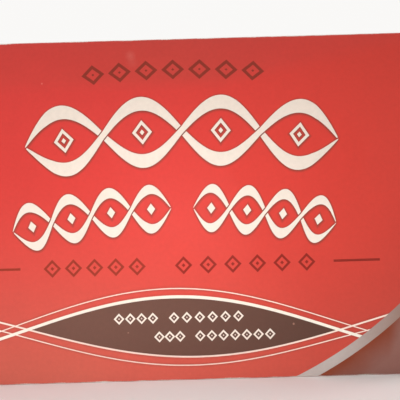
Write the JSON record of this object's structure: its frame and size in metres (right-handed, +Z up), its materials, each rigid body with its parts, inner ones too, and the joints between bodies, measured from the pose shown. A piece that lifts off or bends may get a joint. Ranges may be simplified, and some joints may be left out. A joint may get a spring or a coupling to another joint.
{
  "type": "frozen seafood carton",
  "caption": "Shut paperboard carton for frozen seafood: a flat upright box with slightly swollen panels, folded-over end flaps and a glued seam along the foot of its back.",
  "frame": {"origin": "middle of the bottom panel, on the surface that the carton stands on", "axes": "+Z up; +X along the carton's length, to the right of someone facing its front; the front panel faces -Y"},
  "size_m": [0.321, 0.0932, 0.2207],
  "materials": {
    "printed_board": "paperboard printed red, with a satin varnish"
  },
  "bodies": {
    "root": {"carton": "printed_board"}
  },
  "joints": []
}
